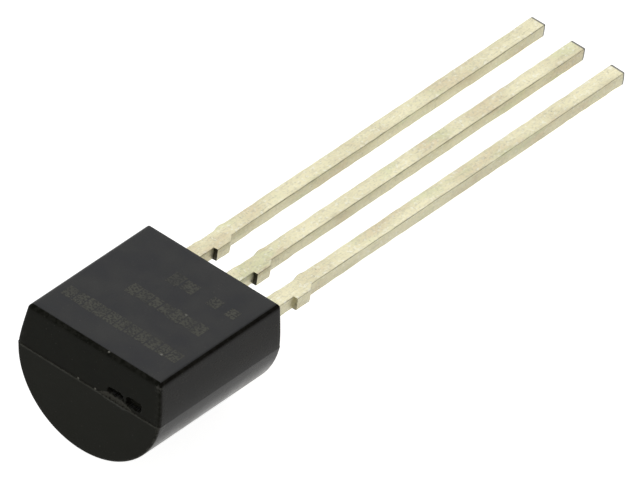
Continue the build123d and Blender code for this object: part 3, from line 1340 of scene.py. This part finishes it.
class TreeSheet(NodeLayout):
    """One geometry node tree."""

    def __init__(self, name: str, inputs: dict[str, str]) -> None:
        """Start a tree.

        Args:
            name: the tree's name.
            inputs: the socket type of each named input.
        """
        super().__init__(bpy.data.node_groups.new(name, "GeometryNodeTree"))
        for label, kind in {"Geometry": "NodeSocketGeometry", **inputs, "Finish": "NodeSocketMaterial"}.items():
            self.tree.interface.new_socket(label, in_out="INPUT", socket_type=kind)
        self.tree.interface.new_socket("Geometry", in_out="OUTPUT", socket_type="NodeSocketGeometry")
        self.given = self.add("NodeGroupInput").outputs

    def reading(self, name: str) -> Socket:
        """A named number of the points."""
        return self.add("GeometryNodeInputNamedAttribute", {"Name": name}, data_type="FLOAT").outputs["Attribute"]

    def close(self, geometry: Socket) -> bpy.types.NodeTree:
        """End the tree with real geometry in its finish.

        Args:
            geometry: what the tree made.

        Returns:
            The tree.
        """
        real = self.add("GeometryNodeRealizeInstances", {"Geometry": geometry}).outputs[0]
        dressed = self.add("GeometryNodeSetMaterial", {"Geometry": real, "Material": self.given["Finish"]}).outputs[0]
        self.add("NodeGroupOutput", {"Geometry": dressed})
        return self.tree


@dataclass(frozen=True)
class Dents:
    """The shallow dents in a lead's tin: how space is stretched for their noise, and which part of it sinks."""

    stretch: Place = (2.4, 1.5, 2.4)
    scale: float = 1.3
    detail: float = 3.0
    span: Span = (0.40, 0.75)

    def sink(self, sheet: TreeSheet, bar: Socket, place: Socket) -> Socket:
        """Press the dents into a bar.

        Args:
            sheet: the tree, with inputs Ripple, for the dents' depth, and Seed.
            bar: the bar's geometry.
            place: its points' places.

        Returns:
            The dented geometry.
        """
        noised = {"Vector": sheet.scaled(place, self.stretch), "W": sheet.given["Seed"], "Scale": self.scale,
                  "Detail": self.detail}
        wave = sheet.add("ShaderNodeTexNoise", noised, noise_dimensions="4D").outputs["Fac"]
        sunk = sheet.join("MULTIPLY", sheet.ramp(wave, self.span), sheet.given["Ripple"], -1.0)
        normal = sheet.add("GeometryNodeInputNormal").outputs[0]
        offset = sheet.add("ShaderNodeVectorMath", {0: normal, "Scale": sunk}, operation="SCALE").outputs[0]
        return sheet.add("GeometryNodeSetPosition", {"Geometry": bar, "Offset": offset}).outputs[0]


def lead_tree(cuts: int = 4, side: float = 0.001) -> bpy.types.NodeTree:
    """Lay out the tree that sweeps a rounded section along a lead's run, moves its sides and dents its tin.

    Args:
        cuts: the points round each of the section's corners.
        side: how far from the middle a point counts as on the left or the right side, in millimetres.

    Returns:
        The tree, with inputs Width, Thickness, Edge Radius, Ripple, Seed and Finish.
    """
    sheet = TreeSheet("lead_sweep", dict.fromkeys(("Width", "Thickness", "Edge Radius", "Ripple", "Seed"),
                                                  "NodeSocketFloat"))
    given = sheet.given
    box = sheet.add("GeometryNodeCurvePrimitiveQuadrilateral", {"Width": given["Width"], "Height": given["Thickness"]})
    rounded = sheet.add("GeometryNodeFilletCurve", {"Curve": box.outputs[0], "Count": cuts,
                                                    "Radius": given["Edge Radius"]}, mode="POLY")
    section = sheet.add("GeometryNodeSubdivideCurve", {"Curve": rounded.outputs[0], "Cuts": 1})
    run = sheet.add("GeometryNodeMeshToCurve", {"Mesh": given["Geometry"]})
    bar = sheet.add("GeometryNodeCurveToMesh", {"Curve": run.outputs[0], "Profile Curve": section.outputs[0],
                                                "Scale": sheet.reading("narrow"), "Fill Caps": True})
    place = sheet.add("GeometryNodeInputPosition").outputs[0]
    across = sheet.part(place, 0)
    to_right = sheet.join("MULTIPLY", sheet.join("GREATER_THAN", across, side), sheet.reading("right"))
    to_left = sheet.join("MULTIPLY", sheet.join("LESS_THAN", across, -side), sheet.reading("left"))
    shift = sheet.add("ShaderNodeCombineXYZ", {0: sheet.join("SUBTRACT", to_right, to_left)}).outputs[0]
    shaped = sheet.add("GeometryNodeSetPosition", {"Geometry": bar.outputs[0], "Offset": shift})
    return sheet.close(Dents().sink(sheet, shaped.outputs[0], place))


def mark_tree(smallest: Place = (0.82, 0.80, 1.0)) -> bpy.types.NodeTree:
    """Lay out the tree that lays a row of thin bars of slightly uneven size.

    Args:
        smallest: the share of its full size that a bar has at least, along each axis.

    Returns:
        The tree, with inputs Count, Pitch, Width, Height, Thickness, Seed and Finish.
    """
    number, whole = "NodeSocketFloat", "NodeSocketInt"
    sheet = TreeSheet("mark_row", {"Count": whole, "Pitch": number, "Width": number, "Height": number,
                                   "Thickness": number, "Seed": whole})
    given = sheet.given
    step = sheet.add("ShaderNodeCombineXYZ", {0: given["Pitch"]}).outputs[0]
    row = sheet.add("GeometryNodeMeshLine", {"Count": given["Count"], "Offset": step}, mode="OFFSET")
    size = sheet.add("ShaderNodeCombineXYZ", {0: given["Width"], 1: given["Height"], 2: given["Thickness"]}).outputs[0]
    bar = sheet.add("GeometryNodeMeshCube", {"Size": size})
    uneven = sheet.add("FunctionNodeRandomValue", {0: smallest, 1: (1.0, 1.0, 1.0), "Seed": given["Seed"]},
                       data_type="FLOAT_VECTOR").outputs[0]
    bars = sheet.add("GeometryNodeInstanceOnPoints", {"Points": row.outputs[0], "Instance": bar.outputs[0],
                                                      "Scale": uneven})
    return sheet.close(bars.outputs[0])


def grown_mesh(seed_mesh: bpy.types.Mesh, tree: bpy.types.NodeTree, values: dict, name: str) -> bpy.types.Mesh:
    """Run a node tree on a mesh and keep the result as a plain mesh.

    Args:
        seed_mesh: the mesh that the tree starts from.
        tree: the tree.
        values: its inputs, by name.
        name: the new mesh's name.

    Returns:
        The new mesh.
    """
    holder = bpy.data.objects.new(name + "_seed", seed_mesh)
    bpy.context.scene.collection.objects.link(holder)
    modifier = holder.modifiers.new("grow", "NODES")
    modifier.node_group = tree
    sockets = {item.name: item.identifier for item in tree.interface.items_tree
               if item.item_type == "SOCKET" and item.in_out == "INPUT"}
    for label, value in values.items():
        modifier[sockets[label]] = value
    bpy.context.view_layer.update()
    evaluated = holder.evaluated_get(bpy.context.evaluated_depsgraph_get())
    mesh = bpy.data.meshes.new_from_object(evaluated)
    mesh.name = name
    holder.modifiers.remove(modifier)
    bpy.data.objects.remove(holder)
    return mesh


def claim(piece: bpy.types.Object, slot: Slot, *nodes: str) -> bpy.types.Object:
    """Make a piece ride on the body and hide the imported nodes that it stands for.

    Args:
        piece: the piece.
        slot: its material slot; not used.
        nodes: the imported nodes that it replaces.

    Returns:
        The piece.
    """
    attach(piece, ROOT)
    if nodes:
        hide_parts(*nodes)
    LOG.info("%s: %d faces, stands for %s", piece.name, len(piece.data.polygons), ", ".join(nodes) or "nothing")
    return piece


@dataclass
class SensorCore:
    """The chip, its adhesive and its wires, sealed in the moulding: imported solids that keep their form."""

    lay: LayFrame
    finishes: dict[str, PlainFinish] = field(default_factory=lambda: {
        "sensor_die": PlainFinish("silicon_grey", (0.20, 0.21, 0.25), (0.26, 0.27, 0.31), 0.4, 0.18, 0.2),
        "die_attach": PlainFinish("silver_paste", (0.55, 0.55, 0.54), (0.68, 0.68, 0.67), 0.7, 0.45, 0.03),
        "bond_wire": PlainFinish("gold_wire", (0.90, 0.66, 0.25), (0.95, 0.74, 0.34), 1.0, 0.2, 0.02),
    })

    def dress(self) -> None:
        """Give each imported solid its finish."""
        for prefix, finish in self.finishes.items():
            material = finish.make(self.lay)
            for name, solid in frame["nodes"].items():
                if name.startswith(prefix):
                    solid.data.materials.clear()
                    solid.data.materials.append(material)
                    LOG.info("%s: dressed in %s", name, finish.name)


@dataclass(frozen=True)
class SoftLamp:
    """A square soft lamp that looks at the sensor: its place and side in metres, and its power in watts."""

    name: str
    place: Place
    size: float
    power: float

    def hang(self) -> None:
        """Add it to the scene, out of the camera's sight."""
        light = bpy.data.lights.new(self.name, "AREA")
        light.size = self.size
        light.energy = self.power
        lamp = bpy.data.objects.new(self.name, light)
        lamp.location = self.place
        lamp.rotation_euler = (-Vector(self.place)).to_track_quat("-Z", "Y").to_euler()
        lamp.visible_camera = False
        bpy.context.scene.collection.objects.link(lamp)


@dataclass
class Studio:
    """The pale table, the soft lights and the camera."""

    lay: LayFrame
    lamps: tuple[SoftLamp, ...] = (SoftLamp("key_softbox", (-0.20, 0.32, 0.30), 0.42, 0.60),
                                   SoftLamp("front_fill", (-0.20, -0.30, 0.22), 0.30, 0.20))
    aim: Place = (0.2536, 3.8870, -0.2242)
    towards_camera: Place = (0.442524, -0.644090, 0.623956)
    picture_up: Place = (-0.468748, 0.427028, 0.773254)
    distance: float = 545.0
    lens: float = 1259.4
    sensor_width: float = 36.0
    clip: Span = (0.01, 10.0)
    table_size: float = 6.0
    table_tone: float = 0.80
    table_glow: float = 0.92
    sky_strength: float = 0.34
    sky_rise: tuple[Span, Span] = ((0.0, 0.7), (0.35, 1.0))
    backdrop_top: Span = (0.02, 0.06)

    def build(self) -> None:
        """Set the table, the lights, the sky and the camera."""
        self._table()
        for lamp in self.lamps:
            lamp.hang()
        self._sky()
        self._camera()
        bpy.context.scene.view_settings.view_transform = "Standard"

    def _table(self) -> None:
        """Set the table: a pale sheet that the camera and the reflections see as white, apart from the shadow."""
        half = self.table_size / 2
        mesh = bpy.data.meshes.new("table")
        mesh.from_pydata([(-half, -half, 0), (half, -half, 0), (half, half, 0), (-half, half, 0)], [], [(0, 1, 2, 3)])
        table = bpy.data.objects.new("table", mesh)
        bpy.context.scene.collection.objects.link(table)
        material = bpy.data.materials.new("pale_table")
        sheet = NodeLayout.emptied(material)
        paper = sheet.add("ShaderNodeBsdfDiffuse", {"Color": (*(self.table_tone,) * 3, 1.0)})
        strength = sheet.join("MULTIPLY", sheet.seen(), self.table_glow)
        glow = sheet.add("ShaderNodeEmission", {"Strength": strength})
        both = sheet.add("ShaderNodeAddShader", {0: paper.outputs[0], 1: glow.outputs[0]})
        sheet.add("ShaderNodeOutputMaterial", {"Surface": both.outputs[0]})
        table.data.materials.append(material)

    def _sky(self) -> None:
        """Set an even sky, brighter overhead, that the camera sees as white, and reflections too low down."""
        world = bpy.data.worlds.new("studio_sky")
        sheet = NodeLayout.emptied(world)
        height = sheet.part(sheet.add("ShaderNodeTexCoord").outputs["Generated"], 2)
        strength = sheet.join("MULTIPLY", sheet.ramp(height, *self.sky_rise), self.sky_strength)
        light = sheet.add("ShaderNodeBackground", {"Strength": strength})
        white = sheet.add("ShaderNodeBackground", {"Color": (1, 1, 1, 1)})
        low = sheet.join("MULTIPLY", sheet.ramp(height, self.backdrop_top, (1.0, 0.0)), sheet.seen())
        camera = sheet.add("ShaderNodeLightPath").outputs["Is Camera Ray"]
        pick = sheet.add("ShaderNodeMixShader", {0: sheet.join("MAXIMUM", low, camera), 1: light.outputs[0],
                                                 2: white.outputs[0]})
        sheet.add("ShaderNodeOutputWorld", {"Surface": pick.outputs[0]})
        bpy.context.scene.world = world

    def _camera(self) -> None:
        """Set the camera, far off with a long lens, as the photograph was taken."""
        back, up = Vector(self.towards_camera).normalized(), Vector(self.picture_up).normalized()
        turn = Matrix((up.cross(back), up, back)).transposed().to_4x4()
        place = self.lay.matrix() @ Matrix.Translation(Vector(self.aim) + back * self.distance) @ turn
        location, rotation, _ = place.decompose()
        data = bpy.data.cameras.new("camera")
        data.lens, data.sensor_width = self.lens, self.sensor_width
        data.clip_start, data.clip_end = self.clip
        camera = bpy.data.objects.new("camera", data)
        camera.matrix_world = Matrix.LocRotScale(location, rotation, None)
        bpy.context.scene.collection.objects.link(camera)
        bpy.context.scene.camera = camera


def main() -> None:
    """Build the sensor piece by piece, then the studio round it."""
    logging.basicConfig(level=logging.INFO, format="%(name)s: %(message)s")
    lay = LayFrame.from_record(frame["record"])
    Moulding(lay).build()
    tins, sweep, ends = [finish.make(lay) for finish in TinFinish.family()], lead_tree(), InnerEnds().stations()
    # lead_1's cropped end takes the lit copy, painted light; the others take the shaded copy, painted shade
    for seed, (node, centre_x, crop) in enumerate((("lead_1", 1.27, LeadFace.LIT_CROP),
                                                   ("lead_2", 0.0, LeadFace.SHADED_CROP),
                                                   ("lead_3", -1.27, LeadFace.SHADED_CROP))):
        LeadStrip(lay, node, centre_x, ends[node], seed, crop).build(sweep, tins)
    trace, rows = MarkFinish().make(lay), mark_tree()
    for name, start, count, pitch, bar, seed in (("mark_row_1", (-1.68, -3.50), 11, 0.330, (0.33, 0.50), 3),
                                                 ("mark_row_2", (-0.70, -2.27), 7, 0.345, (0.345, 0.46), 5),
                                                 ("mark_row_3", (-0.24, -1.21), 2, 0.42, (0.42, 0.50), 8),
                                                 ("mark_row_4", (0.98, -1.21), 2, 0.56, (0.34, 0.42), 9)):
        MarkRow(lay, name, start, count, pitch, bar, seed).build(rows, trace)
    SensorCore(lay).dress()
    Studio(lay).build()


if __name__ == "__main__":
    main()
